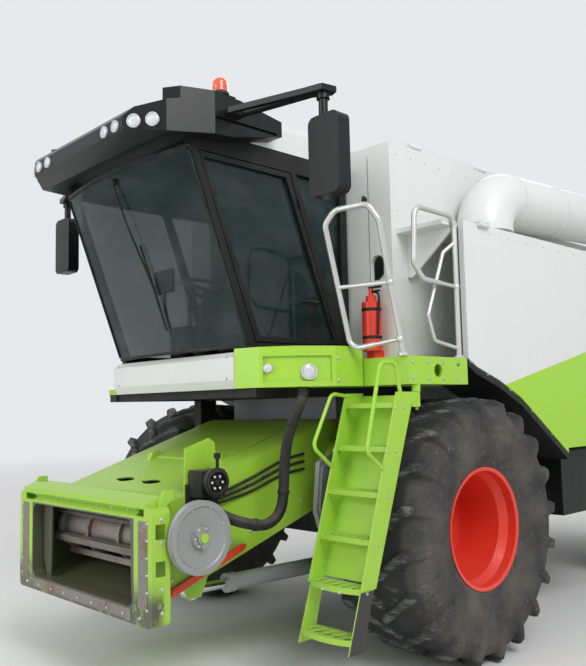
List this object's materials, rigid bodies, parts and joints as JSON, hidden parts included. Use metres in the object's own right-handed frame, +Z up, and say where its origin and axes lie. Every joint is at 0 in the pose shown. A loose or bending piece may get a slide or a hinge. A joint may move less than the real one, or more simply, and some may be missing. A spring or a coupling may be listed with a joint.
{
  "type": "combine harvester",
  "caption": "Self-propelled combine harvester with cab, grain tank, unloading auger, straw hood and a feeder house that lifts, parked without a header",
  "frame": {"origin": "on the ground, in the middle of the length and the width, where the tyres stand", "axes": "+X forwards, +Y to the machine's left, +Z up"},
  "size_m": [8.572, 3.76, 4.063],
  "materials": {
    "green_paint": "gloss enamel, lime green",
    "white_paint": "gloss enamel, light grey",
    "dark_frame": "satin black",
    "grey_metal": "satin grey",
    "steel": "worn bare steel",
    "chrome": "polished",
    "black_plastic": "matt black",
    "glass": "tinted",
    "seat_fabric": "woven, dark grey",
    "red_paint": "gloss red",
    "tyre_rubber": "dusty black",
    "lamp_plastic": "clear lens",
    "beacon_plastic": "amber",
    "hose_rubber": "matt black"
  },
  "bodies": {
    "root": {"platform": "green_paint", "lamp_panel": "green_paint", "straw_hood": "green_paint", "grain_tank": "white_paint", "tank_shoulders": "white_paint", "engine_hood": "white_paint", "front_hood": "white_paint", "roof_cap": "white_paint", "main_frame": "dark_frame", "front_axle": "dark_frame", "rear_axle": "dark_frame", "chopper": "dark_frame", "threshing_housing": "grey_metal", "engine": "grey_metal", "drive_guard": "grey_metal", "cleaning_shoe": "steel", "railings": "steel", "mudguards": "black_plastic", "cab_shell": "black_plastic", "roof_visor": "black_plastic", "mirrors": "black_plastic", "steering_column": "black_plastic", "windscreen": "glass", "cab_glass": "glass", "seat": "seat_fabric", "extinguisher": "red_paint", "lamps": "lamp_plastic", "beacon": "beacon_plastic", "hose": "hose_rubber"},
    "feeder": {"feeder_house": "green_paint", "header_frame": "green_paint", "feeder_chain": "steel", "coupler": "dark_frame", "latch_bar": "red_paint"},
    "pulley": {"drive_pulley": "grey_metal"},
    "lift_barrels": {"lift_barrels": "grey_metal"},
    "lift_rods": {"lift_rods": "chrome"},
    "steer_left": {"knuckle_left": "dark_frame"},
    "steer_right": {"knuckle_right": "dark_frame"},
    "tie_rod": {"tie_rod": "dark_frame"},
    "wheel_front_left": {"rim_front_left": "red_paint", "tyre_front_left": "tyre_rubber"},
    "wheel_front_right": {"rim_front_right": "red_paint", "tyre_front_right": "tyre_rubber"},
    "wheel_rear_left": {"rim_rear_left": "red_paint", "tyre_rear_left": "tyre_rubber"},
    "wheel_rear_right": {"rim_rear_right": "red_paint", "tyre_rear_right": "tyre_rubber"},
    "auger": {"auger_tube": "white_paint"},
    "cab_door": {"door": "black_plastic", "door_glass": "glass"},
    "ladder": {"ladder": "green_paint"},
    "left_panel": {"side_panel_left": "white_paint"},
    "right_panel": {"side_panel_right": "white_paint"},
    "left_lid": {"tank_lid_left": "white_paint"},
    "right_lid": {"tank_lid_right": "white_paint"}
  },
  "joints": [
    {"name": "front_left_wheel_spin", "type": "hinge", "parent": "root", "child": "wheel_front_left", "pos_m": [2.034, 1.48, 0.93], "axis": [0, 1, 0], "continuous": true},
    {"name": "front_right_wheel_spin", "type": "hinge", "parent": "root", "child": "wheel_front_right", "pos_m": [2.034, -1.48, 0.93], "axis": [0, 1, 0], "continuous": true},
    {"name": "steer_left_turn", "type": "hinge", "parent": "root", "child": "steer_left", "pos_m": [-1.716, 1.09, 0.7], "axis": [0, 0, 1], "range_deg": [-32, 32]},
    {"name": "steer_right_turn", "type": "hinge", "parent": "root", "child": "steer_right", "pos_m": [-1.716, -1.09, 0.7], "axis": [0, 0, 1], "range_deg": [-32, 32]},
    {"name": "tie_rod_slide", "type": "slide", "parent": "root", "child": "tie_rod", "axis": [0, 1, 0], "range_m": [-0.13, 0.13]},
    {"name": "rear_left_wheel_spin", "type": "hinge", "parent": "steer_left", "child": "wheel_rear_left", "pos_m": [-1.716, 1.4, 0.7], "axis": [0, 1, 0], "continuous": true},
    {"name": "rear_right_wheel_spin", "type": "hinge", "parent": "steer_right", "child": "wheel_rear_right", "pos_m": [-1.716, -1.4, 0.7], "axis": [0, 1, 0], "continuous": true},
    {"name": "feeder_lift", "type": "hinge", "parent": "root", "child": "feeder", "pos_m": [2.464, 0, 1.43], "axis": [0, -1, 0], "range_deg": [-10, 12], "deforming": ["hose"]},
    {"name": "lift_barrel_pivot", "type": "hinge", "parent": "root", "child": "lift_barrels", "pos_m": [2.284, 0, 0.6], "axis": [0, -1, 0], "range_deg": [-8.7, 10.4]},
    {"name": "lift_rod_slide", "type": "slide", "parent": "lift_barrels", "child": "lift_rods", "axis": [0.9999, 0, 0.0103], "range_m": [-0.15, 0.18]},
    {"name": "pulley_spin", "type": "hinge", "parent": "feeder", "child": "pulley", "pos_m": [3.914, 0.965, 1.02], "axis": [0, 1, 0], "continuous": true},
    {"name": "auger_swing", "type": "hinge", "parent": "root", "child": "auger", "pos_m": [1.434, 1.52, 3.2], "axis": [0, 0, -1], "range_deg": [0, 100]},
    {"name": "cab_door_swing", "type": "hinge", "parent": "root", "child": "cab_door", "pos_m": [2.543, 0.862, 2.4], "axis": [0.3473, 0, 0.9377], "range_deg": [0, 45]},
    {"name": "ladder_swing", "type": "hinge", "parent": "root", "child": "ladder", "pos_m": [2.674, 1.722, 1.85], "axis": [0, 0, 1], "range_deg": [0, 90]},
    {"name": "left_panel_lift", "type": "hinge", "parent": "root", "child": "left_panel", "pos_m": [0.034, 1.77, 3.15], "axis": [1, 0, 0], "range_deg": [0, 75]},
    {"name": "right_panel_lift", "type": "hinge", "parent": "root", "child": "right_panel", "pos_m": [0.034, -1.77, 3.15], "axis": [-1, 0, 0], "range_deg": [0, 75]},
    {"name": "left_lid_open", "type": "hinge", "parent": "root", "child": "left_lid", "pos_m": [1.034, 1.255, 3.858], "axis": [-1, 0, 0], "range_deg": [0, 60]},
    {"name": "right_lid_open", "type": "hinge", "parent": "root", "child": "right_lid", "pos_m": [1.034, -1.255, 3.858], "axis": [1, 0, 0], "range_deg": [0, 60]}
  ],
  "couplings": [
    {"joint": "steer_right_turn", "follows": "steer_left_turn", "ratio": 1},
    {"joint": "tie_rod_slide", "follows": "steer_left_turn", "m_per_rad": -0.2183},
    {"joint": "lift_barrel_pivot", "follows": "feeder_lift", "ratio": 0.862},
    {"joint": "lift_rod_slide", "follows": "feeder_lift", "m_per_rad": 0.822},
    {"joint": "right_lid_open", "follows": "left_lid_open", "ratio": 1}
  ]
}
